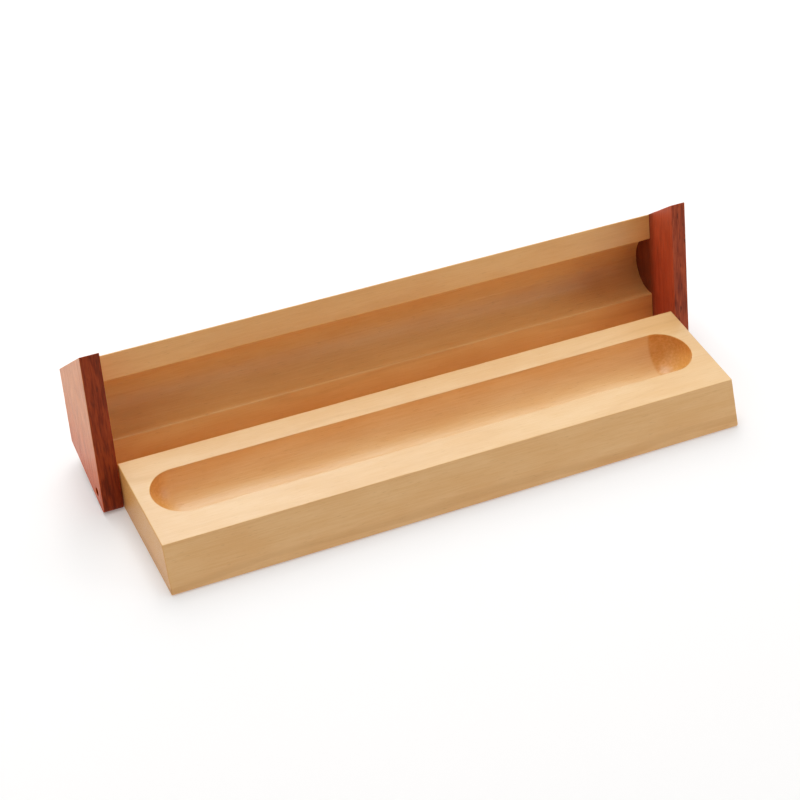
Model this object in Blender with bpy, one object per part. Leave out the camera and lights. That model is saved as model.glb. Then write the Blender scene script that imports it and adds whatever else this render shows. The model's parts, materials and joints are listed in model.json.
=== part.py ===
"""Flip-top wooden pen box, standing open: a maple tray and lid between rosewood cheeks.

Metres, +Z up. The origin is the middle of the tray's underside, +X runs along the box
and +Y points to its hinge side. The lid, its cheeks, pins and dowels are drawn with the
box closed, as children of an empty on the hinge axis, and that empty swings them open.
"""

import math

import bmesh
import bpy

MM = 0.001

# Closed box: one symmetric trapezoid from end to end.
BASE_WIDTH = 44.5 * MM
BOX_HEIGHT = 23.0 * MM
SIDE_SLOPE = math.radians(62.6)
EDGE_EASE = 0.4 * MM

# Tray and its pen trough, cut with a round-nose bit.
TRAY_LENGTH = 161.6 * MM
TRAY_THICKNESS = 12.0 * MM
TROUGH_RADIUS = 8.1 * MM
TROUGH_END_WALL = 3.7 * MM
TROUGH_SETBACK = 1.0 * MM

# Lid and its cove, which runs from cheek to cheek.
LID_GAP = 0.3 * MM
COVE_RADIUS = 8.2 * MM
COVE_CENTRE_Y = -0.2 * MM

# Cheeks, glued to the lid's ends.
LEFT_CHEEK_THICKNESS = 5.3 * MM
RIGHT_CHEEK_THICKNESS = 4.3 * MM
LEFT_RUNNING_GAP = 0.3 * MM
RIGHT_RUNNING_GAP = 0.5 * MM
GLUE_GAP = 0.3 * MM
HEEL_RADIUS = 1.2 * MM

# Hinge: one plain steel pin at each end.
OPEN_ANGLE = math.radians(106.0)
PIVOT_FROM_HEEL = 5.5 * MM
PIVOT_HEIGHT = 4.0 * MM
PIN_RADIUS = 1.0 * MM
PIN_LENGTH = 12.0 * MM
PIN_RECESS = 0.6 * MM
PIN_BORE_DEPTH = 8.2 * MM

# Blind dowels that locate the cheeks on the lid.
DOWEL_RADIUS = 1.5 * MM
DOWEL_IN_CHEEK = 3.0 * MM
DOWEL_IN_LID = 8.0 * MM
DOWEL_OFFSET_Y = 9.25 * MM
DOWEL_HEIGHT = 18.0 * MM

# Fits and facets.
ROD_CLEARANCE = 0.06 * MM
HOLE_END_ROOM = 0.3 * MM
CUT_OVERRUN = 1.0 * MM
ROD_CHAMFER = 0.2 * MM
ROD_STEPS = 32
CORNER_STEPS = 4
HEEL_STEPS = 8
COVE_STEPS = 28
TROUGH_STEPS = 56
TROUGH_END_STEPS = 12
SMOOTH_ANGLE = math.radians(35.0)
RIM_ANGLE = math.radians(60.0)

# Places worked out from the sizes above.
HALF_BASE = BASE_WIDTH / 2
HALF_TRAY = TRAY_LENGTH / 2
LEFT_INNER_X = -HALF_TRAY - LEFT_RUNNING_GAP
RIGHT_INNER_X = HALF_TRAY + RIGHT_RUNNING_GAP
LEFT_OUTER_X = LEFT_INNER_X - LEFT_CHEEK_THICKNESS
RIGHT_OUTER_X = RIGHT_INNER_X + RIGHT_CHEEK_THICKNESS
LID_FACE_HEIGHT = TRAY_THICKNESS + LID_GAP
PIVOT_Y = HALF_BASE - PIVOT_FROM_HEEL

MAPLE_COLOUR = (0.71, 0.46, 0.21, 1.0)
ROSEWOOD_COLOUR = (0.27, 0.055, 0.021, 1.0)
STEEL_COLOUR = (0.42, 0.40, 0.38, 1.0)
BEECH_COLOUR = (0.62, 0.40, 0.22, 1.0)


def clear_scene():
    """Start from an empty scene."""
    for old in list(bpy.data.objects):
        bpy.data.objects.remove(old, do_unlink=True)


def make_material(name, colour, roughness, metallic=0.0):
    """A plain surface with one colour."""
    material = bpy.data.materials.new(name)
    material.use_nodes = True
    shader = material.node_tree.nodes["Principled BSDF"]
    shader.inputs["Base Color"].default_value = colour
    shader.inputs["Roughness"].default_value = roughness
    shader.inputs["Metallic"].default_value = metallic
    return material


def add_object(name, mesh_builder, material):
    """Turn a finished bmesh into a named object with outward faces and smooth round stretches."""
    bmesh.ops.recalc_face_normals(mesh_builder, faces=mesh_builder.faces)
    mesh = bpy.data.meshes.new(name)
    mesh_builder.to_mesh(mesh)
    mesh_builder.free()
    mesh.shade_smooth()
    mesh.set_sharp_from_angle(angle=SMOOTH_ANGLE)
    if material:
        mesh.materials.append(material)
    part = bpy.data.objects.new(name, mesh)
    bpy.context.scene.collection.objects.link(part)
    return part


def side_inset(height):
    """How far a slanted side has come in at this height above the base."""
    return height / math.tan(SIDE_SLOPE)


def trapezoid(bottom, top):
    """Corners of the box's section between two heights, counterclockwise seen from +X."""
    low = HALF_BASE - side_inset(bottom)
    high = HALF_BASE - side_inset(top)
    return [(-low, bottom), (low, bottom), (high, top), (-high, top)]


def rounded_corner(before, corner, after, radius, steps):
    """Points of the arc that eases one convex corner of an outline."""
    def unit(to):
        run = math.hypot(to[0] - corner[0], to[1] - corner[1])
        return ((to[0] - corner[0]) / run, (to[1] - corner[1]) / run)

    back, ahead = unit(before), unit(after)
    half_angle = math.acos(back[0] * ahead[0] + back[1] * ahead[1]) / 2
    reach = radius / math.sin(half_angle)
    middle = (back[0] + ahead[0], back[1] + ahead[1])
    length = math.hypot(*middle)
    centre = (corner[0] + middle[0] / length * reach, corner[1] + middle[1] / length * reach)
    outward = math.atan2(corner[1] - centre[1], corner[0] - centre[0])
    sweep = math.pi / 2 - half_angle
    arc = []
    for step in range(steps + 1):
        angle = outward - sweep + 2 * sweep * step / steps
        arc.append((centre[0] + radius * math.cos(angle), centre[1] + radius * math.sin(angle)))
    return arc


def eased_outline(corners, special=None):
    """The outline with every corner eased; special gives a corner's own (radius, steps)."""
    outline = []
    for index, corner in enumerate(corners):
        before = corners[index - 1]
        after = corners[(index + 1) % len(corners)]
        radius, steps = (special or {}).get(index, (EDGE_EASE, CORNER_STEPS))
        outline += rounded_corner(before, corner, after, radius, steps)
    return outline


def prism(name, outline, start_x, end_x, material):
    """An outline in the YZ plane, extruded along the box."""
    builder = bmesh.new()
    ring = [builder.verts.new((start_x, y, z)) for y, z in outline]
    face = builder.faces.new(ring)
    grown = bmesh.ops.extrude_face_region(builder, geom=[face])
    moved = [item for item in grown["geom"] if isinstance(item, bmesh.types.BMVert)]
    bmesh.ops.translate(builder, verts=moved, vec=(end_x - start_x, 0.0, 0.0))
    return add_object(name, builder, material)


def turned(name, profile, centre_y, centre_z, steps, material=None):
    """A closed solid of revolution: (x, radius) points, spun about an axis along the box."""
    builder = bmesh.new()
    chain = [builder.verts.new((x, 0.0, radius)) for x, radius in profile]
    edges = [builder.edges.new(pair) for pair in zip(chain, chain[1:])]
    bmesh.ops.spin(
        builder,
        geom=chain + edges,
        cent=(0.0, 0.0, 0.0),
        axis=(1.0, 0.0, 0.0),
        angle=math.tau,
        steps=steps,
    )
    bmesh.ops.remove_doubles(builder, verts=builder.verts, dist=0.001 * MM)
    bmesh.ops.translate(builder, verts=builder.verts, vec=(0.0, centre_y, centre_z))
    return add_object(name, builder, material)


def rod(name, start_x, end_x, radius, centre_y, centre_z, material):
    """A pin or dowel along the box with both ends chamfered."""
    profile = [
        (start_x, 0.0),
        (start_x, radius - ROD_CHAMFER),
        (start_x + ROD_CHAMFER, radius),
        (end_x - ROD_CHAMFER, radius),
        (end_x, radius - ROD_CHAMFER),
        (end_x, 0.0),
    ]
    return turned(name, profile, centre_y, centre_z, ROD_STEPS, material)


def ease_rims(part):
    """Ease the sharp rims around an object's end faces."""
    bevel = part.modifiers.new("eased_rims", "BEVEL")
    bevel.width = EDGE_EASE
    bevel.segments = 2
    bevel.limit_method = "ANGLE"
    bevel.angle_limit = RIM_ANGLE


def cut_away(part, cutter):
    """Subtract a cutter, which stays in the scene as a wire guide."""
    cutter.hide_render = True
    cutter.display_type = "WIRE"
    boolean = part.modifiers.new(cutter.name, "BOOLEAN")
    boolean.operation = "DIFFERENCE"
    boolean.solver = "EXACT"
    boolean.object = cutter


def drill(part, name, start_x, end_x, rod_radius, centre_y, centre_z):
    """Drill a round hole along the box, a little larger than the rod it holds."""
    radius = rod_radius + ROD_CLEARANCE
    profile = [(start_x, 0.0), (start_x, radius), (end_x, radius), (end_x, 0.0)]
    cutter = turned(name, profile, centre_y, centre_z, ROD_STEPS)
    cut_away(part, cutter)
    return cutter


def trough_profile():
    """Half section of the trough's cutter: a straight run with a quarter-round at each end."""
    straight = HALF_TRAY - TROUGH_END_WALL - TROUGH_RADIUS
    profile = []
    for step in range(TROUGH_END_STEPS + 1):
        angle = math.pi - math.pi / 2 * step / TROUGH_END_STEPS
        profile.append((-straight + TROUGH_RADIUS * math.cos(angle), TROUGH_RADIUS * math.sin(angle)))
    return profile + [(-x, radius) for x, radius in reversed(profile)]


def make_tray(maple):
    """The tray that stands on the table, with its trough and two hinge bores."""
    tray = prism("tray", eased_outline(trapezoid(0.0, TRAY_THICKNESS)), -HALF_TRAY, HALF_TRAY, maple)
    ease_rims(tray)
    cut_away(tray, turned("trough_cutter", trough_profile(), TROUGH_SETBACK, TRAY_THICKNESS, TROUGH_STEPS))
    for side, label in ((-1, "left"), (1, "right")):
        mouth = side * (HALF_TRAY + CUT_OVERRUN)
        bottom = side * (HALF_TRAY - PIN_BORE_DEPTH)
        drill(tray, label + "_pin_bore", mouth, bottom, PIN_RADIUS, PIVOT_Y, PIVOT_HEIGHT)
    return tray


def lid_outline():
    """The lid's closed section, from its rear face corner round to the cove."""
    front_bottom, rear_bottom, rear_top, front_top = trapezoid(LID_FACE_HEIGHT, BOX_HEIGHT)
    outline = rounded_corner(front_bottom, rear_bottom, rear_top, EDGE_EASE, CORNER_STEPS)
    outline += rounded_corner(rear_bottom, rear_top, front_top, EDGE_EASE, CORNER_STEPS)
    outline += rounded_corner(rear_top, front_top, front_bottom, EDGE_EASE, CORNER_STEPS)
    outline += rounded_corner(front_top, front_bottom, rear_bottom, EDGE_EASE, CORNER_STEPS)
    for step in range(COVE_STEPS + 1):
        angle = math.pi - math.pi * step / COVE_STEPS
        outline.append(
            (COVE_CENTRE_Y + COVE_RADIUS * math.cos(angle), LID_FACE_HEIGHT + COVE_RADIUS * math.sin(angle))
        )
    return outline


def cheek_outline():
    """The whole closed section, with a rounder corner at the heel that passes the table."""
    heel = 1
    return eased_outline(trapezoid(0.0, BOX_HEIGHT), {heel: (HEEL_RADIUS, HEEL_STEPS)})


def make_cheek(label, inner_x, outer_x, rosewood):
    """One end cheek with the hole for its hinge pin."""
    cheek = prism(label + "_cheek", cheek_outline(), inner_x, outer_x, rosewood)
    ease_rims(cheek)
    outward = math.copysign(CUT_OVERRUN, outer_x)
    hole = drill(
        cheek, label + "_pin_hole", inner_x - outward, outer_x + outward, PIN_RADIUS, PIVOT_Y, PIVOT_HEIGHT
    )
    return [cheek, hole]


def make_pin(label, outer_x, steel):
    """One hinge pin, set a little below its cheek's outer face."""
    side = math.copysign(1.0, outer_x)
    start = outer_x - side * PIN_RECESS
    end = start - side * PIN_LENGTH
    return rod(label + "_hinge_pin", min(start, end), max(start, end), PIN_RADIUS, PIVOT_Y, PIVOT_HEIGHT, steel)


def make_dowels(label, lid, cheek, inner_x, beech):
    """Two blind dowels between one cheek and the lid, and the holes that they sit in."""
    side = math.copysign(1.0, inner_x)
    lid_end = inner_x - side * GLUE_GAP
    cheek_end = inner_x + side * DOWEL_IN_CHEEK
    inside_end = lid_end - side * DOWEL_IN_LID
    made = []
    for place, centre_y in (("front", -DOWEL_OFFSET_Y), ("rear", DOWEL_OFFSET_Y)):
        name = label + "_" + place + "_dowel"
        ends = sorted((cheek_end, inside_end))
        made.append(rod(name, *ends, DOWEL_RADIUS, centre_y, DOWEL_HEIGHT, beech))
        hole_ends = (cheek_end + side * HOLE_END_ROOM, inside_end - side * HOLE_END_ROOM)
        hole = drill(cheek, name + "_hole", *hole_ends, DOWEL_RADIUS, centre_y, DOWEL_HEIGHT)
        cut_away(lid, hole)
        made.append(hole)
    return made


def hang_on_hinge(pieces):
    """Parent the closed lid assembly to an empty on the hinge axis and swing it open."""
    hinge = bpy.data.objects.new("hinge_axis", None)
    hinge.location = (0.0, PIVOT_Y, PIVOT_HEIGHT)
    hinge.rotation_euler = (-OPEN_ANGLE, 0.0, 0.0)
    bpy.context.scene.collection.objects.link(hinge)
    for piece in pieces:
        piece.parent = hinge
        piece.location = (0.0, -PIVOT_Y, -PIVOT_HEIGHT)


def main():
    clear_scene()
    maple = make_material("maple", MAPLE_COLOUR, 0.48)
    rosewood = make_material("rosewood", ROSEWOOD_COLOUR, 0.38)
    steel = make_material("pin_steel", STEEL_COLOUR, 0.35, 1.0)
    beech = make_material("beech", BEECH_COLOUR, 0.6)

    make_tray(maple)
    lid = prism("lid", lid_outline(), LEFT_INNER_X + GLUE_GAP, RIGHT_INNER_X - GLUE_GAP, maple)
    moving = [lid]
    sides = (("left", LEFT_INNER_X, LEFT_OUTER_X), ("right", RIGHT_INNER_X, RIGHT_OUTER_X))
    for label, inner_x, outer_x in sides:
        cheek_parts = make_cheek(label, inner_x, outer_x, rosewood)
        moving += cheek_parts
        moving.append(make_pin(label, outer_x, steel))
        moving += make_dowels(label, lid, cheek_parts[0], inner_x, beech)
    hang_on_hinge(moving)


main()
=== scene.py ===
"""Looks of the flip-top pen box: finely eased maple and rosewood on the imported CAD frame.

Metres, +Z up, in the part's own frame. The lid and the cheeks are modelled with the box closed,
and their meshes are then swung back about the hinge to the open rest pose.
"""

import json
import math

import bmesh
import bpy
from mathutils import Matrix, Quaternion, Vector


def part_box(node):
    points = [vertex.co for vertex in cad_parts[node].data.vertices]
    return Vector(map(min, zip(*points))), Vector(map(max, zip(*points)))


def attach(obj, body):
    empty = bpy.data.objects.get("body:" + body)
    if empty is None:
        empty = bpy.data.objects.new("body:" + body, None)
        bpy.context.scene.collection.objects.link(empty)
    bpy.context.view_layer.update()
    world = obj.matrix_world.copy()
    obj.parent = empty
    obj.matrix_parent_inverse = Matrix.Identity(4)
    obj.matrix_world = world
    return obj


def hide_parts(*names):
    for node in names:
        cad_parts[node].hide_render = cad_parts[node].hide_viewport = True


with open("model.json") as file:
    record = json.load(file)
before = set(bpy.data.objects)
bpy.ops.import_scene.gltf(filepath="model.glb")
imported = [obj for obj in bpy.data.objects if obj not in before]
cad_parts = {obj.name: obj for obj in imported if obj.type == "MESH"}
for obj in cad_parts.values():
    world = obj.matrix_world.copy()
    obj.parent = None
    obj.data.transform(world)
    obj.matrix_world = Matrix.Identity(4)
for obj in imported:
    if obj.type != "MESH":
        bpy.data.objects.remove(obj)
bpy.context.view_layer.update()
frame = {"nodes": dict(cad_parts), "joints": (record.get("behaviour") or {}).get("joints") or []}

MM = 0.001

# The closed box's section, and what is cut into it.
BASE_WIDTH = 44.5 * MM
BOX_HEIGHT = 23.0 * MM
SIDE_SLOPE = math.radians(62.6)
LID_GAP = 0.3 * MM
TROUGH_RADIUS = 8.1 * MM
TROUGH_END_WALL = 3.7 * MM
TROUGH_SETBACK = 1.0 * MM
COVE_RADIUS = 8.2 * MM
COVE_CENTRE_Y = -0.2 * MM

# Sanded edges.
CORNER_EASE = 0.25 * MM
UNDERSIDE_EASE = 0.6 * MM
TRAY_RIM_EASE = 0.3 * MM
CHEEK_OUTER_RIM_EASE = 0.2 * MM
CHEEK_INNER_RIM_EASE = 0.15 * MM
TROUGH_RIM_EASE = 0.2 * MM
COVE_EDGE_EASE = 0.4 * MM
HEEL_RADIUS = 1.2 * MM
BROKEN_EDGE = 0.12 * MM
MERGE_DISTANCE = 0.001 * MM

# Drilled holes.
PIN_HOLE_RADIUS = 1.06 * MM
PIN_BORE_DEPTH = 8.2 * MM
DOWEL_HOLE_RADIUS = 1.56 * MM
DOWEL_HOLE_IN_CHEEK = 3.3 * MM
DOWEL_HOLE_IN_LID = 8.3 * MM
DOWEL_OFFSET_Y = 9.25 * MM
DOWEL_HEIGHT = 18.0 * MM

# How finely round stretches are divided.
EASE_STEPS = 4
ROUNDER_STEPS = 8
COVE_STEPS = 48
TROUGH_STEPS = 20
TROUGH_END_STEPS = 32
HOLE_STEPS = 32

# Places that the frame gives.
hinge = frame["joints"][0]
PIVOT = Vector(hinge["pos_m"])
OPEN_ANGLE = math.radians(hinge["range_deg"][1])
TRAY_LOW, TRAY_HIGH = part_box("tray")
LEFT_OUTER_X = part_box("left_cheek")[0].x
LEFT_INNER_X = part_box("left_cheek")[1].x
RIGHT_INNER_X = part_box("right_cheek")[0].x
RIGHT_OUTER_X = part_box("right_cheek")[1].x
HALF_BASE = BASE_WIDTH / 2
LID_FACE_HEIGHT = TRAY_HIGH.z + LID_GAP

# Colours of the woods and the steel, and white, in linear light.
MAPLE_LIGHT = (0.87, 0.495, 0.222, 1.0)
MAPLE_DARK = (0.79, 0.405, 0.160, 1.0)
MAPLE_RING = (0.65, 0.31, 0.115, 1.0)
MAPLE_FLECK = (0.50, 0.22, 0.08, 1.0)
MAPLE_END_FACE = (0.84, 0.73, 0.53, 1.0)
MAPLE_END_LIGHT = (0.95, 0.79, 0.56, 1.0)
MAPLE_END_DARK = (0.83, 0.65, 0.39, 1.0)
LID_TINT = (1.0, 0.935, 0.77, 1.0)
# The left cheek's face colour is the rosewood lightened with a painted sheen, so it is paler than
# the right's.
LEFT_CHEEK_FACE_AND_SHEEN = (0.75, 0.24, 0.08, 1.0)
# Painted shade: the left cheek's face colour towards the hinge, which sits low with the lid open.
LEFT_CHEEK_PAINTED_SHADE = (0.58, 0.078, 0.007, 1.0)
LEFT_CHEEK_EDGE = (0.31, 0.047, 0.009, 1.0)
RIGHT_CHEEK_FACE = (0.53, 0.088, 0.035, 1.0)
# Painted shade: the right cheek's face colour towards the hinge, as for the left cheek.
RIGHT_CHEEK_PAINTED_SHADE = (0.47, 0.080, 0.032, 1.0)
RIGHT_CHEEK_EDGE = (0.38, 0.066, 0.021, 1.0)
ROSEWOOD_BAND = (0.50, 0.42, 0.40, 1.0)
ROSEWOOD_PORE = (0.085, 0.017, 0.004, 1.0)
# Painted shade, multiplied into the cheeks' inner faces where they close the cove's ends.
ROSEWOOD_COVE_SHADE = (0.42, 0.60, 0.60, 1.0)
BEECH_PALE = (0.66, 0.43, 0.25, 1.0)
BEECH_DARK = (0.52, 0.32, 0.17, 1.0)
STEEL_DARK = (0.34, 0.32, 0.30, 1.0)
STEEL_PALE = (0.50, 0.48, 0.46, 1.0)
WHITE = (1.0, 1.0, 1.0, 1.0)

# Lengths of the grain's features along X, Y and Z of the closed box.
MAPLE_FIBRE_SIZE = (9 * MM, 0.30 * MM, 0.30 * MM)
MAPLE_CLOUD_SIZE = (20 * MM, 5 * MM, 5 * MM)
MAPLE_FLECK_SIZE = (2.6 * MM, 0.30 * MM, 0.30 * MM)
MAPLE_MOTTLE_SIZE = (1.1 * MM, 0.6 * MM, 0.6 * MM)
MAPLE_DRIFT_SIZE = (60 * MM, 9 * MM, 9 * MM)
ROSEWOOD_BAND_SIZE = (1.2 * MM, 10 * MM, 1.2 * MM)
ROSEWOOD_FIBRE_SIZE = (0.3 * MM, 6 * MM, 0.3 * MM)
ROSEWOOD_PORE_SIZE = (0.38 * MM, 3.6 * MM, 0.38 * MM)
STEEL_STREAK_SIZE = (0.9 * MM, 0.12 * MM, 0.12 * MM)
BEECH_FIBRE_SIZE = (5 * MM, 0.25 * MM, 0.25 * MM)

# Growth rings of the maple: the pith line's Y and Z, the spacing and how far they wander.
MAPLE_PITH = (-14 * MM, -46 * MM)
MAPLE_RING_SPACING = 3.4 * MM
MAPLE_RING_WANDER = 7.0 * MM

# Each pattern's span, as the (low, high) between which it comes in, and its strength or share.
NOISE_SPAN = (0.3, 0.7)
MAPLE_FIBRE_SHARE = 0.65
MAPLE_CLOUD_SHARE = 0.65
MAPLE_TONE_SPAN = (0.38, 0.88)
MAPLE_RING_SPAN = (0.57, 0.72)
MAPLE_RING_STRENGTH = 0.34
MAPLE_FLECK_SPAN = (0.61, 0.77)
MAPLE_FLECK_STRENGTH = 0.34
MAPLE_MOTTLE_SPAN = (0.35, 0.75)
END_FACE_DEPTH = 0.3 * MM
TROUGH_SKIN_SPAN = (0.05 * MM, 0.2 * MM)
TROUGH_END_FADE_LEFT = 5 * MM
TROUGH_END_FADE_RIGHT = 1 * MM
MIDDLE_BLEND = 1 * MM
ROSEWOOD_FACE_SPAN = (0.2, 0.75)
# Closed-box Y over which the painted shade towards the hinge comes in.
ROSEWOOD_PAINTED_SHADE_SPAN = (-HALF_BASE / 2, HALF_BASE)
ROSEWOOD_FIBRE_SHARE = 0.45
ROSEWOOD_BAND_SHARE = 0.75
ROSEWOOD_BAND_SPAN = (0.45, 0.75)
ROSEWOOD_BAND_ON_FACE = 0.4
ROSEWOOD_PORE_SPAN = (0.58, 0.68)
ROSEWOOD_PORE_ON_FACE = 0.3
LEFT_PORE_DEPTH = 0.5
RIGHT_PORE_DEPTH = 0.85
# Heights over which the painted shade in the cove's end comes in.
COVE_SHADE_SPAN = (LID_FACE_HEIGHT - 4 * MM, LID_FACE_HEIGHT + 1.5 * MM)
CHEEK_INNER_SPAN = (TRAY_HIGH.x + 1 * MM, TRAY_HIGH.x + 2 * MM)

# Roughness, relief as (depth, strength), and the refractive index that sets the gloss.
MAPLE_ROUGHNESS = (0.27, 0.43)
ROSEWOOD_ROUGHNESS = (0.34, 0.46)
STEEL_ROUGHNESS = (0.28, 0.42)
BEECH_ROUGHNESS = 0.62
FLOOR_ROUGHNESS = 0.9
MAPLE_RELIEF = (0.08 * MM, 0.6)
ROSEWOOD_RELIEF = (0.06 * MM, 0.3)
BEECH_RELIEF = (0.04 * MM, 0.3)
TRAY_GLOSS_INDEX = 1.37
LID_GLOSS_INDEX = 1.50
ROSEWOOD_GLOSS_INDEX = 1.25

# Sockets of Blender's Mix node that are used for colours, and the curve for all three channels.
MIX_FACTOR = 0
MIX_FIRST = 6
MIX_SECOND = 7
MIX_RESULT = 2
COMBINED_CURVE = 3

# Weight of large faces over narrow ones in the shading of an edge.
LARGE_FACE_WEIGHT = 100

# Camera, as azimuth from the front, elevation and roll about its own axis.
CAMERA_AZIMUTH = math.radians(-26.6)
CAMERA_ELEVATION = math.radians(40.245)
CAMERA_ROLL = math.radians(2.348)
CAMERA_TARGET = Vector((-5.973, 8.136, 14.547)) * MM
CAMERA_DISTANCE = 568.018 * MM
CAMERA_LENS = 98.228
SENSOR_WIDTH = 36.0
CAMERA_CLIP_START = 10 * MM

# Studio: softboxes as name, compass angle from +X, elevation and watts.
FLOOR_SIZE = 6.0
FLOOR_COLOUR = (0.97, 0.95, 0.935, 1.0)
FLOOR_GLOW = 0.12
SKY_STRENGTH = 0.065
BACKDROP_STRENGTH = 1.2
SOFTBOX_SIZE = 0.45
SOFTBOX_DISTANCE = 0.9
SOFTBOXES = (
    ("back_low", 90, 25, 2.1),
    ("back_middle", 90, 50, 2.3),
    ("back_high", 90, 65, 2.25),
    ("overhead", 90, 80, 0.7),
    ("back_right", 60, 42, 1.8),
    ("back_left", 150, 30, 0.35),
    ("left_high", 185, 50, 0.8),
    ("front_left", 210, 25, 0.2),
    ("front", 285, 22, 0.3),
    ("front_right", 333, 25, 1.65),
)

# Tone curve: a slight toe and a soft shoulder.
TONE_TOE = 1.1
TONE_SHOULDER = 1.0
TONE_POINTS = 12


# ---------------------------------------------------------------- outlines


def trapezoid(bottom, top):
    """Corners of the box's section between two heights, counterclockwise seen from +X."""
    low = HALF_BASE - bottom / math.tan(SIDE_SLOPE)
    high = HALF_BASE - top / math.tan(SIDE_SLOPE)
    return [(-low, bottom), (low, bottom), (high, top), (-high, top)]


def arc(centre, radius, start, end, steps):
    """Points of an arc in the YZ plane, both ends included."""
    points = []
    for step in range(steps + 1):
        angle = start + (end - start) * step / steps
        points.append((centre[0] + radius * math.cos(angle), centre[1] + radius * math.sin(angle)))
    return points


def rounded_corner(before, corner, after, radius, steps):
    """Points of the arc that eases one convex corner of an outline."""
    corner = Vector(corner)
    back = (Vector(before) - corner).normalized()
    ahead = (Vector(after) - corner).normalized()
    half_angle = back.angle(ahead) / 2
    centre = corner + (back + ahead).normalized() * radius / math.sin(half_angle)
    outward = math.atan2(corner.y - centre.y, corner.x - centre.x)
    sweep = math.pi / 2 - half_angle
    return arc(centre, radius, outward - sweep, outward + sweep, steps)


def eased_outline(corners, rounder):
    """The outline with every corner eased; rounder maps a corner's index to its larger radius."""
    outline = []
    for index, corner in enumerate(corners):
        before = corners[index - 1]
        after = corners[(index + 1) % len(corners)]
        radius = rounder.get(index, CORNER_EASE)
        steps = ROUNDER_STEPS if index in rounder else EASE_STEPS
        outline += rounded_corner(before, corner, after, radius, steps)
    return outline


def lid_outline():
    """The lid's closed section, with the cove in its underside and eased cove edges."""
    front_bottom, *others = trapezoid(LID_FACE_HEIGHT, BOX_HEIGHT)
    outside = eased_outline([*others, front_bottom], {})

    # Each cove edge is an arc that touches both the flat face and the cove's circle.
    reach = math.sqrt(COVE_RADIUS**2 + 2 * COVE_RADIUS * COVE_EDGE_EASE)
    touch = math.asin(COVE_EDGE_EASE / (COVE_RADIUS + COVE_EDGE_EASE))
    ease_height = LID_FACE_HEIGHT + COVE_EDGE_EASE
    front_centre = (COVE_CENTRE_Y - reach, ease_height)
    rear_centre = (COVE_CENTRE_Y + reach, ease_height)
    cove_centre = (COVE_CENTRE_Y, LID_FACE_HEIGHT)
    front_edge = arc(front_centre, COVE_EDGE_EASE, -math.pi / 2, -touch, EASE_STEPS)
    cove = arc(cove_centre, COVE_RADIUS, math.pi - touch, touch, COVE_STEPS)
    rear_edge = arc(rear_centre, COVE_EDGE_EASE, math.pi + touch, 1.5 * math.pi, EASE_STEPS)
    return outside + front_edge + cove[1:-1] + rear_edge


def inset(outline, distance):
    """The outline moved into the wood, each point along its own corner's bisector."""
    moved = []
    for index, point in enumerate(outline):
        here = Vector(point)
        arriving = (here - Vector(outline[index - 1])).normalized()
        leaving = (Vector(outline[(index + 1) % len(outline)]) - here).normalized()
        arriving_inward = Vector((-arriving.y, arriving.x))
        leaving_inward = Vector((-leaving.y, leaving.x))
        bisector = (arriving_inward + leaving_inward).normalized()
        moved.append(here + bisector * distance / bisector.dot(arriving_inward))
    return moved


# ---------------------------------------------------------------- mesh building


def skin(builder, rings):
    """Quads between each two neighbouring closed rings."""
    for near, far in zip(rings, rings[1:]):
        for index in range(len(near)):
            after = (index + 1) % len(near)
            builder.faces.new((near[index], near[after], far[after], far[index]))


def ring_edges(builder, ring):
    """The edges of a closed ring of vertices."""
    return [builder.edges.get((ring[index - 1], ring[index])) for index in range(len(ring))]


def fill_flat(builder, rings, normal):
    """A flat face bounded by the first ring, left open inside the others."""
    edges = [edge for ring in rings for edge in ring_edges(builder, ring)]
    bmesh.ops.triangle_fill(builder, use_beauty=True, edges=edges, normal=normal)


def quarter_turn(ease):
    """(along, depth) pairs of a quarter-round, from the end face to the side face."""
    if ease == 0:
        return [(0.0, 0.0)]
    turn = []
    for step in range(EASE_STEPS + 1):
        angle = math.pi / 2 * step / EASE_STEPS
        turn.append((ease * (1 - math.cos(angle)), ease * (1 - math.sin(angle))))
    return turn


def sweep_bar(builder, outline, start_x, end_x, start_ease, end_ease):
    """Sweep an outline along the box, with a rounded rim at each end; returns the end rings."""
    way = math.copysign(1.0, end_x - start_x)
    stations = [(start_x + way * along, depth) for along, depth in quarter_turn(start_ease)]
    stations += [(end_x - way * along, depth) for along, depth in reversed(quarter_turn(end_ease))]
    rings = []
    for x, depth in stations:
        points = inset(outline, depth) if depth else outline
        rings.append([builder.verts.new((x, y, z)) for y, z in points])
    skin(builder, rings)
    return rings[0], rings[-1]


def drill(builder, centre, radius, near_x, far_x, through=False):
    """A hole along the box with a broken edge at each mouth; returns the mouth rings."""
    inward = math.copysign(BROKEN_EDGE, far_x - near_x)
    stations = [(near_x, radius + BROKEN_EDGE), (near_x + inward, radius)]
    if through:
        stations += [(far_x - inward, radius), (far_x, radius + BROKEN_EDGE)]
    else:
        stations += [(far_x, radius)]
    rings = []
    for x, ring_radius in stations:
        points = arc(centre, ring_radius, 0.0, math.tau, HOLE_STEPS)[:-1]
        rings.append([builder.verts.new((x, y, z)) for y, z in points])
    skin(builder, rings)
    if not through:
        builder.faces.new(rings[-1])
    return rings[0], rings[-1]


def stadium(builder, half_run, radius, height):
    """A level ring with straight sides along X and a half circle at each end."""
    ring = []
    for side in (1, -1):
        for step in range(TROUGH_END_STEPS + 1):
            angle = math.pi * (step / TROUGH_END_STEPS - 0.5)
            x = side * (half_run + radius * math.cos(angle))
            y = TROUGH_SETBACK + side * radius * math.sin(angle)
            ring.append(builder.verts.new((x, y, height)))
    return ring


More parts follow.
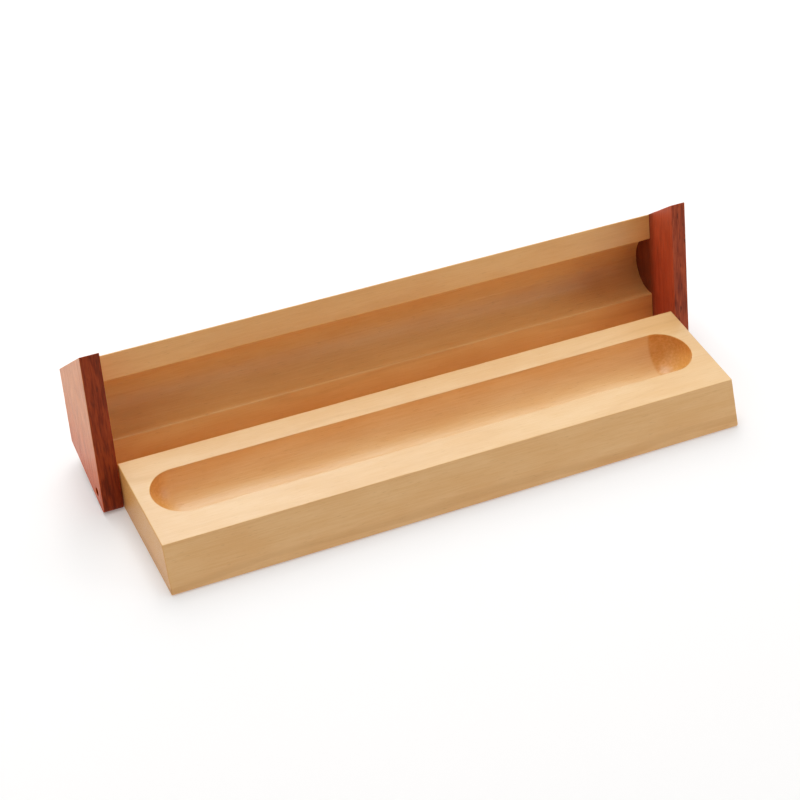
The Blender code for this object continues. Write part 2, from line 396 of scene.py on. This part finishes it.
def cut_trough(builder):
    """Open the bar's top face and sink the round-bottomed trough into it."""
    top = max(builder.faces, key=lambda face: face.normal.z * face.calc_area())
    top_ring = [loop.vert for loop in top.loops]
    bmesh.ops.delete(builder, geom=[top], context="FACES_ONLY")
    half_run = TRAY_HIGH.x - TROUGH_END_WALL - TROUGH_RADIUS
    rings = []
    for depth, spread in quarter_turn(TROUGH_RIM_EASE):
        rings.append(stadium(builder, half_run, TROUGH_RADIUS + spread, TRAY_HIGH.z - depth))
    start = math.asin(TROUGH_RIM_EASE / TROUGH_RADIUS)
    for step in range(1, TROUGH_STEPS + 1):
        angle = start + (math.pi / 2 - start) * step / TROUGH_STEPS
        height = TRAY_HIGH.z - TROUGH_RADIUS * math.sin(angle)
        rings.append(stadium(builder, half_run, TROUGH_RADIUS * math.cos(angle), height))
    skin(builder, rings)
    fill_flat(builder, [top_ring, rings[0]], (0.0, 0.0, 1.0))
    bmesh.ops.remove_doubles(builder, verts=rings[-1], dist=MERGE_DISTANCE)


def add_piece(name, builder, material, body, node):
    """Turn a finished bmesh into a piece that rides on its body and stands for its CAD node."""
    bmesh.ops.recalc_face_normals(builder, faces=builder.faces)
    mesh = bpy.data.meshes.new(name)
    builder.to_mesh(mesh)
    builder.free()
    mesh.shade_smooth()
    mesh.materials.append(material)
    piece = bpy.data.objects.new(name, mesh)
    bpy.context.scene.collection.objects.link(piece)
    normals = piece.modifiers.new("flat_faces_stay_flat", "WEIGHTED_NORMAL")
    normals.mode = "FACE_AREA"
    normals.weight = LARGE_FACE_WEIGHT
    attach(piece, body)
    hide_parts(node)


# ---------------------------------------------------------------- pieces


def make_tray(material):
    """The tray, with its trough and a blind bore for each hinge pin."""
    builder = bmesh.new()
    outline = eased_outline(trapezoid(0.0, TRAY_HIGH.z), {0: UNDERSIDE_EASE, 1: UNDERSIDE_EASE})
    ends = sweep_bar(builder, outline, TRAY_LOW.x, TRAY_HIGH.x, TRAY_RIM_EASE, TRAY_RIM_EASE)
    builder.normal_update()
    cut_trough(builder)
    for ring, end_x in zip(ends, (TRAY_LOW.x, TRAY_HIGH.x)):
        bottom_x = end_x - math.copysign(PIN_BORE_DEPTH, end_x)
        mouth = drill(builder, PIVOT.yz, PIN_HOLE_RADIUS, end_x, bottom_x)[0]
        fill_flat(builder, [ring, mouth], (math.copysign(1.0, end_x), 0.0, 0.0))
    add_piece("maple_tray", builder, material, "tray_body", "tray")


def swing_open(builder):
    """Turn a mesh that was drawn with the box closed back to the open rest pose."""
    swing = Matrix.Rotation(-OPEN_ANGLE, 4, "X")
    about_pivot = Matrix.Translation(PIVOT) @ swing @ Matrix.Translation(-PIVOT)
    bmesh.ops.transform(builder, matrix=about_pivot, verts=builder.verts)


def make_lid(material):
    """The coved lid, running right up to the cheeks, with blind dowel holes in both ends."""
    builder = bmesh.new()
    ends = sweep_bar(builder, lid_outline(), LEFT_INNER_X, RIGHT_INNER_X, 0.0, 0.0)
    for ring, end_x in zip(ends, (LEFT_INNER_X, RIGHT_INNER_X)):
        bottom_x = end_x - math.copysign(DOWEL_HOLE_IN_LID, end_x)
        mouths = []
        for centre_y in (-DOWEL_OFFSET_Y, DOWEL_OFFSET_Y):
            centre = (centre_y, DOWEL_HEIGHT)
            mouths.append(drill(builder, centre, DOWEL_HOLE_RADIUS, end_x, bottom_x)[0])
        fill_flat(builder, [ring, *mouths], (math.copysign(1.0, end_x), 0.0, 0.0))
    swing_open(builder)
    add_piece("maple_lid", builder, material, "lid_body", "lid")


def make_cheek(side, inner_x, outer_x, material):
    """One end cheek, with its pin hole right through and two blind dowel holes inside."""
    builder = bmesh.new()
    outline = eased_outline(trapezoid(0.0, BOX_HEIGHT), {1: HEEL_RADIUS})
    eases = (CHEEK_INNER_RIM_EASE, CHEEK_OUTER_RIM_EASE)
    inner, outer = sweep_bar(builder, outline, inner_x, outer_x, *eases)
    outward = math.copysign(1.0, outer_x)
    pin_mouths = drill(builder, PIVOT.yz, PIN_HOLE_RADIUS, inner_x, outer_x, through=True)
    inner_mouths = [pin_mouths[0]]
    for centre_y in (-DOWEL_OFFSET_Y, DOWEL_OFFSET_Y):
        bottom_x = inner_x + outward * DOWEL_HOLE_IN_CHEEK
        centre = (centre_y, DOWEL_HEIGHT)
        inner_mouths.append(drill(builder, centre, DOWEL_HOLE_RADIUS, inner_x, bottom_x)[0])
    fill_flat(builder, [inner, *inner_mouths], (-outward, 0.0, 0.0))
    fill_flat(builder, [outer, pin_mouths[1]], (outward, 0.0, 0.0))
    swing_open(builder)
    name = "rosewood_" + side + "_cheek"
    add_piece(name, builder, material, "lid_body", side + "_cheek")


# ---------------------------------------------------------------- materials


class Nodes:
    """A short way to build one material's node tree; its textures follow the closed box."""

    def __init__(self, name, on_lid_body=False):
        self.on_lid_body = on_lid_body
        self.material = bpy.data.materials.new(name)
        self.material.use_nodes = True
        self.tree = self.material.node_tree
        self.shader = self.tree.nodes["Principled BSDF"]

    def put(self, socket, value):
        """Link a socket to another node's output, or set its value."""
        if isinstance(value, bpy.types.NodeSocket):
            self.tree.links.new(value, socket)
        else:
            socket.default_value = value

    def add(self, kind, settings=None, **inputs):
        """Add a node with its settings and its named inputs; returns the node."""
        node = self.tree.nodes.new(kind)
        for key, value in (settings or {}).items():
            setattr(node, key, value)
        for key, value in inputs.items():
            self.put(node.inputs[key.replace("_", " ")], value)
        return node

    def math(self, operation, first, second=0.0, third=0.0):
        """One math node's output."""
        node = self.tree.nodes.new("ShaderNodeMath")
        node.operation = operation
        for socket, value in zip(node.inputs, (first, second, third)):
            self.put(socket, value)
        return node.outputs[0]

    def coordinates(self):
        """The surface point, in metres, where it lies when the box is closed."""
        point = self.add("ShaderNodeTexCoord").outputs["Object"]
        if not self.on_lid_body:
            return point
        moved = PIVOT - Matrix.Rotation(OPEN_ANGLE, 3, "X") @ PIVOT
        turn = (OPEN_ANGLE, 0.0, 0.0)
        closing = self.add("ShaderNodeMapping", Vector=point, Location=moved, Rotation=turn)
        return closing.outputs["Vector"]

    def stretched(self, lengths, offset=(0.0, 0.0, 0.0)):
        """The surface point counted in the given lengths along each axis."""
        point = self.coordinates()
        scale = [1.0 / length for length in lengths]
        mapping = self.add("ShaderNodeMapping", Vector=point, Location=offset, Scale=scale)
        return mapping.outputs["Vector"]

    def noise(self, lengths, detail=2.0, roughness=0.5, distortion=0.0, offset=(0.0, 0.0, 0.0)):
        """Noise whose features are about the given lengths along each axis."""
        vector = self.stretched(lengths, offset)
        node = self.add(
            "ShaderNodeTexNoise",
            Vector=vector,
            Scale=1.0,
            Detail=detail,
            Roughness=roughness,
            Distortion=distortion,
        )
        return node.outputs["Fac"]

    def ramp(self, factor, low, high, start=0.0, end=1.0):
        """Smooth change from start to end as factor goes from low to high."""
        node = self.add(
            "ShaderNodeMapRange",
            {"interpolation_type": "SMOOTHSTEP"},
            Value=factor,
            From_Min=low,
            From_Max=high,
            To_Min=start,
            To_Max=end,
        )
        return node.outputs["Result"]

    def mix(self, factor, first, second, blend="MIX"):
        """Mix of two colours."""
        node = self.tree.nodes.new("ShaderNodeMix")
        node.data_type = "RGBA"
        node.blend_type = blend
        self.put(node.inputs[MIX_FACTOR], factor)
        self.put(node.inputs[MIX_FIRST], first)
        self.put(node.inputs[MIX_SECOND], second)
        return node.outputs[MIX_RESULT]

    def multiply(self, factor, colour, by):
        """A colour multiplied by another where factor is 1, and unchanged where it is 0."""
        return self.mix(factor, colour, self.mix(1.0, colour, by, "MULTIPLY"))

    def place(self):
        """The surface point's X, Y and Z, as three outputs."""
        return self.add("ShaderNodeSeparateXYZ", Vector=self.coordinates()).outputs

    def endways(self):
        """How squarely the surface faces along the box, from 0 to 1."""
        normal = self.add("ShaderNodeTexCoord").outputs["Normal"]
        return self.math("ABSOLUTE", self.add("ShaderNodeSeparateXYZ", Vector=normal).outputs["X"])

    def distance(self, along, across, height):
        """Length of the vector with these three parts."""
        vector = self.add("ShaderNodeCombineXYZ", X=along, Y=across, Z=height).outputs["Vector"]
        node = self.add("ShaderNodeVectorMath", {"operation": "LENGTH"}, Vector=vector)
        return node.outputs["Value"]

    def growth_rings(self):
        """Rings of uneven width round the maple's pith line along X, from 0 to 1."""
        place = self.place()
        across = self.math("SUBTRACT", place["Y"], MAPLE_PITH[0])
        height = self.math("SUBTRACT", place["Z"], MAPLE_PITH[1])
        radius = self.distance(0.0, across, height)
        drift = self.noise(MAPLE_DRIFT_SIZE, detail=1.0, offset=(3.1, 0.4, 1.7))
        wandering = self.math("MULTIPLY_ADD", drift, MAPLE_RING_WANDER, radius)
        count = self.math("DIVIDE", wandering, MAPLE_RING_SPACING)
        in_one_line = {"noise_dimensions": "1D"}
        node = self.add("ShaderNodeTexNoise", in_one_line, W=count, Scale=1.0, Detail=2.0)
        return node.outputs["Fac"]

    def bump(self, height, distance, strength):
        """Give the shader a fine relief."""
        node = self.add("ShaderNodeBump", Height=height, Distance=distance, Strength=strength)
        self.put(self.shader.inputs["Normal"], node.outputs["Normal"])


def trough_ends(n):
    """1 on the round ends of the trough, where the cutter met the end grain, and 0 elsewhere."""
    place = n.place()
    half_run = TRAY_HIGH.x - TROUGH_END_WALL - TROUGH_RADIUS
    along = n.math("SUBTRACT", n.math("ABSOLUTE", place["X"]), half_run)
    across = n.math("SUBTRACT", place["Y"], TROUGH_SETBACK)
    height = n.math("SUBTRACT", place["Z"], TRAY_HIGH.z)
    distance = n.distance(along, across, height)
    past_surface = [TROUGH_RADIUS + extra for extra in TROUGH_SKIN_SPAN]
    in_trough = n.ramp(distance, *past_surface, 1.0, 0.0)
    # The change of colour is sharp at the right-hand end and gradual at the left.
    fades = (TROUGH_END_FADE_LEFT, TROUGH_END_FADE_RIGHT)
    fade = n.ramp(place["X"], -MIDDLE_BLEND, MIDDLE_BLEND, *fades)
    return n.math("MULTIPLY", n.ramp(along, 0.0, fade), in_trough)


def tray_end_colours(n, wood):
    """The tray's wood, darker on the round ends of its trough and on its end faces."""
    mottle = n.noise(MAPLE_MOTTLE_SIZE, detail=3.0, offset=(0.7, 2.2, 9.4))
    scorched = n.mix(n.ramp(mottle, *MAPLE_MOTTLE_SPAN), MAPLE_END_DARK, MAPLE_END_LIGHT)
    wood = n.multiply(trough_ends(n), wood, scorched)
    from_middle = n.math("ABSOLUTE", n.place()["X"])
    in_end_face = n.ramp(from_middle, TRAY_HIGH.x - END_FACE_DEPTH, TRAY_HIGH.x)
    return n.multiply(in_end_face, wood, MAPLE_END_FACE)


def maple_material(name, gloss_index, is_tray):
    """Pale straight-grained maple with faint rings, fine fibres and short flecks, satin lacquer."""
    n = Nodes(name, on_lid_body=not is_tray)
    rings = n.growth_rings()
    fibres = n.noise(MAPLE_FIBRE_SIZE, detail=3.0, roughness=0.6)
    clouds = n.noise(MAPLE_CLOUD_SIZE, detail=3.0, offset=(5.3, 1.1, 2.9))
    flecks = n.noise(MAPLE_FLECK_SIZE, detail=2.0, offset=(1.9, 7.7, 4.1))

    cloud_tone = n.math("MULTIPLY", clouds, MAPLE_CLOUD_SHARE)
    tone = n.math("MULTIPLY_ADD", fibres, MAPLE_FIBRE_SHARE, cloud_tone)
    wood = n.mix(n.ramp(tone, *MAPLE_TONE_SPAN), MAPLE_LIGHT, MAPLE_DARK)
    ring_line = n.ramp(rings, *MAPLE_RING_SPAN, 0.0, MAPLE_RING_STRENGTH)
    wood = n.mix(ring_line, wood, MAPLE_RING)
    fleck = n.ramp(flecks, *MAPLE_FLECK_SPAN, 0.0, MAPLE_FLECK_STRENGTH)
    wood = n.mix(fleck, wood, MAPLE_FLECK)
    if is_tray:
        wood = tray_end_colours(n, wood)
    else:
        wood = n.mix(1.0, wood, LID_TINT, "MULTIPLY")

    n.put(n.shader.inputs["Base Color"], wood)
    n.put(n.shader.inputs["Roughness"], n.ramp(fibres, *NOISE_SPAN, *MAPLE_ROUGHNESS))
    n.shader.inputs["IOR"].default_value = gloss_index
    n.bump(n.math("SUBTRACT", fibres, fleck), *MAPLE_RELIEF)
    return n.material


def rosewood_material(name, face_colour, painted_shade_colour, edge_colour, pore_depth):
    """Red-brown rosewood with dark bands and open pores, which show less on its wide faces, with
    painted shade towards the hinge and in the cove's end.
    """
    n = Nodes(name, on_lid_body=True)
    place = n.place()
    bands = n.noise(ROSEWOOD_BAND_SIZE, detail=3.0, roughness=0.55, distortion=0.8)
    fibres = n.noise(ROSEWOOD_FIBRE_SIZE, detail=3.0, roughness=0.65, offset=(2.3, 0.9, 6.1))
    pores = n.noise(ROSEWOOD_PORE_SIZE, detail=2.0, distortion=0.5, offset=(8.2, 3.3, 0.6))

    on_face = n.ramp(n.endways(), *ROSEWOOD_FACE_SPAN)
    # Painted shade: the face colour darkens towards the hinge, which is low down with the lid open.
    painted_shade_by_hinge = n.ramp(place["Y"], *ROSEWOOD_PAINTED_SHADE_SPAN)
    wood = n.mix(on_face, edge_colour, n.mix(painted_shade_by_hinge, face_colour, painted_shade_colour))
    band_tone = n.math("MULTIPLY", bands, ROSEWOOD_BAND_SHARE)
    tone = n.math("MULTIPLY_ADD", fibres, ROSEWOOD_FIBRE_SHARE, band_tone)
    band_strength = n.ramp(on_face, 0.0, 1.0, 1.0, ROSEWOOD_BAND_ON_FACE)
    shade = n.math("MULTIPLY", n.ramp(tone, *ROSEWOOD_BAND_SPAN), band_strength)
    wood = n.multiply(shade, wood, ROSEWOOD_BAND)
    pore = n.ramp(pores, *ROSEWOOD_PORE_SPAN)
    pore_strength = n.ramp(on_face, 0.0, 1.0, pore_depth, ROSEWOOD_PORE_ON_FACE)
    wood = n.mix(n.math("MULTIPLY", pore, pore_strength), wood, ROSEWOOD_PORE)

    # Painted shade: the inner face is darkened where it closes the cove's end, as the lid shades it
    # there.
    by_cove = n.ramp(place["Z"], *COVE_SHADE_SPAN)
    is_inner = n.ramp(n.math("ABSOLUTE", place["X"]), *CHEEK_INNER_SPAN, 1.0, 0.0)
    wood = n.multiply(n.math("MULTIPLY", by_cove, is_inner), wood, ROSEWOOD_COVE_SHADE)

    n.put(n.shader.inputs["Base Color"], wood)
    n.put(n.shader.inputs["Roughness"], n.ramp(fibres, *NOISE_SPAN, *ROSEWOOD_ROUGHNESS))
    n.shader.inputs["IOR"].default_value = ROSEWOOD_GLOSS_INDEX
    n.bump(n.math("SUBTRACT", fibres, pore), *ROSEWOOD_RELIEF)
    return n.material


def steel_material():
    """Drawn steel with fine streaks along the pin."""
    n = Nodes("pin_steel_drawn")
    streaks = n.noise(STEEL_STREAK_SIZE, detail=2.0)
    n.put(n.shader.inputs["Base Color"], n.mix(streaks, STEEL_DARK, STEEL_PALE))
    n.put(n.shader.inputs["Roughness"], n.ramp(streaks, *NOISE_SPAN, *STEEL_ROUGHNESS))
    n.shader.inputs["Metallic"].default_value = 1.0
    return n.material


def beech_material():
    """Bare beech dowel rod, with its grain along the rod."""
    n = Nodes("beech_bare")
    fibres = n.noise(BEECH_FIBRE_SIZE, detail=3.0, roughness=0.6)
    n.put(n.shader.inputs["Base Color"], n.mix(fibres, BEECH_PALE, BEECH_DARK))
    n.shader.inputs["Roughness"].default_value = BEECH_ROUGHNESS
    n.bump(fibres, *BEECH_RELIEF)
    return n.material


def finish_cad_nodes(steel, beech):
    """Give the pins and dowels, which keep their CAD shapes, their finished materials."""
    for name, node in frame["nodes"].items():
        if name.endswith("_hinge_pin"):
            node.material_slots[0].material = steel
        elif name.endswith("_dowel"):
            node.material_slots[0].material = beech


# ---------------------------------------------------------------- studio


def make_floor():
    """A plain white table."""
    bpy.ops.mesh.primitive_plane_add(size=FLOOR_SIZE, location=(0.0, 0.0, TRAY_LOW.z))
    floor = bpy.context.object
    floor.name = "floor"
    n = Nodes("floor_white")
    n.shader.inputs["Base Color"].default_value = FLOOR_COLOUR
    n.shader.inputs["Roughness"].default_value = FLOOR_ROUGHNESS
    n.shader.inputs["Emission Color"].default_value = WHITE
    n.shader.inputs["Emission Strength"].default_value = FLOOR_GLOW
    floor.data.materials.append(n.material)


def make_sky():
    """Dim fill from all round, which looks white behind the object."""
    world = bpy.data.worlds.new("tent")
    world.use_nodes = True
    tree = world.node_tree
    background = tree.nodes["Background"]
    background.inputs["Color"].default_value = WHITE
    seen = tree.nodes.new("ShaderNodeLightPath").outputs["Is Camera Ray"]
    strength = tree.nodes.new("ShaderNodeMapRange")
    strength.inputs["To Min"].default_value = SKY_STRENGTH
    strength.inputs["To Max"].default_value = BACKDROP_STRENGTH
    tree.links.new(seen, strength.inputs["Value"])
    tree.links.new(strength.outputs["Result"], background.inputs["Strength"])
    bpy.context.scene.world = world


def direction(compass, elevation):
    """The unit vector at a compass angle from +X, in radians, and an elevation."""
    level = math.cos(elevation)
    return Vector((math.cos(compass) * level, math.sin(compass) * level, math.sin(elevation)))


def make_softbox(name, compass, elevation, watts):
    """One square soft light, aimed at the middle of the box."""
    light = bpy.data.lights.new(name, "AREA")
    light.size = SOFTBOX_SIZE
    light.energy = watts
    softbox = bpy.data.objects.new(name, light)
    outward = direction(math.radians(compass), math.radians(elevation))
    softbox.location = outward * SOFTBOX_DISTANCE
    softbox.rotation_mode = "QUATERNION"
    softbox.rotation_quaternion = (-outward).to_track_quat("-Z", "Y")
    softbox.visible_camera = False
    bpy.context.scene.collection.objects.link(softbox)


def make_camera():
    """The camera, placed by the direction from which it looks."""
    back = direction(CAMERA_AZIMUTH - math.pi / 2, CAMERA_ELEVATION)
    data = bpy.data.cameras.new("camera")
    data.lens = CAMERA_LENS
    data.sensor_width = SENSOR_WIDTH
    data.clip_start = CAMERA_CLIP_START
    camera = bpy.data.objects.new("camera", data)
    camera.location = CAMERA_TARGET + back * CAMERA_DISTANCE
    camera.rotation_mode = "QUATERNION"
    upright = (-back).to_track_quat("-Z", "Y")
    camera.rotation_quaternion = upright @ Quaternion((0.0, 0.0, 1.0), CAMERA_ROLL)
    bpy.context.scene.collection.objects.link(camera)
    bpy.context.scene.camera = camera


def set_tone():
    """Plain colours with a film-like curve, which keeps the pale wood from burning out."""
    view = bpy.context.scene.view_settings
    view.view_transform = "Standard"
    view.use_curve_mapping = True
    curve = view.curve_mapping.curves[COMBINED_CURVE]
    for step in range(1, TONE_POINTS):
        light = (step / TONE_POINTS) ** 2
        toed = light**TONE_TOE
        curve.points.new(light, toed * (1 + TONE_SHOULDER) / (toed + TONE_SHOULDER))
    view.curve_mapping.update()


# ---------------------------------------------------------------- scene


# The left cheek's face colour holds a painted sheen; both cheeks' colours hold painted shade
# towards the hinge.
left_colours = (LEFT_CHEEK_FACE_AND_SHEEN, LEFT_CHEEK_PAINTED_SHADE, LEFT_CHEEK_EDGE)
right_colours = (RIGHT_CHEEK_FACE, RIGHT_CHEEK_PAINTED_SHADE, RIGHT_CHEEK_EDGE)
left_rosewood = rosewood_material("rosewood_left", *left_colours, LEFT_PORE_DEPTH)
right_rosewood = rosewood_material("rosewood_right", *right_colours, RIGHT_PORE_DEPTH)
make_tray(maple_material("maple_tray", TRAY_GLOSS_INDEX, is_tray=True))
make_lid(maple_material("maple_lid", LID_GLOSS_INDEX, is_tray=False))
make_cheek("left", LEFT_INNER_X, LEFT_OUTER_X, left_rosewood)
make_cheek("right", RIGHT_INNER_X, RIGHT_OUTER_X, right_rosewood)
finish_cad_nodes(steel_material(), beech_material())

make_floor()
make_sky()
for softbox in SOFTBOXES:
    make_softbox(*softbox)
make_camera()
set_tone()
